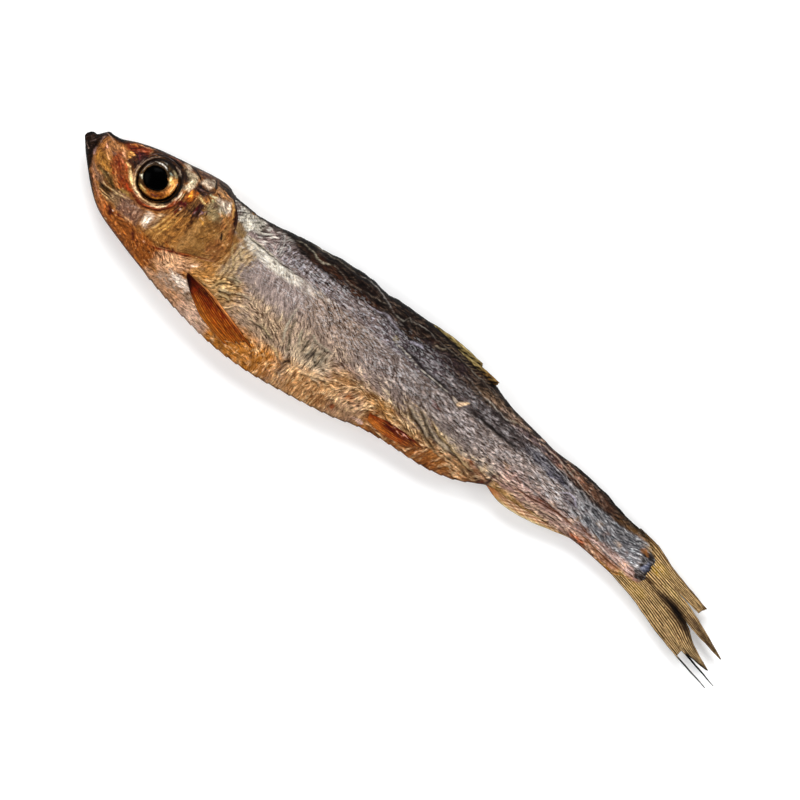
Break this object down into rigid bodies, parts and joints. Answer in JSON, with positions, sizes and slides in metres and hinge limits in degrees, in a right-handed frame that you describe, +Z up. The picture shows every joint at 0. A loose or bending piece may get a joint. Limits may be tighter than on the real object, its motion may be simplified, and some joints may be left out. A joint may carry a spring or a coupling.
{
  "type": "dried baltic sprat",
  "caption": "Whole dried Baltic sprat lying on its side, slender and wrinkled, with folded fins and a frayed tail.",
  "frame": {"origin": "middle of the fish's bounding box, on the surface that it lies on", "axes": "+X from the snout to the tail, +Y towards the back, +Z up, out of the left flank"},
  "size_m": [0.1196, 0.0226, 0.0092],
  "materials": {
    "skin": "satin",
    "eye": "gloss",
    "fin": "satin"
  },
  "bodies": {
    "root": {"body": "skin", "eye_left": "eye", "eye_right": "eye"}
  },
  "joints": []
}
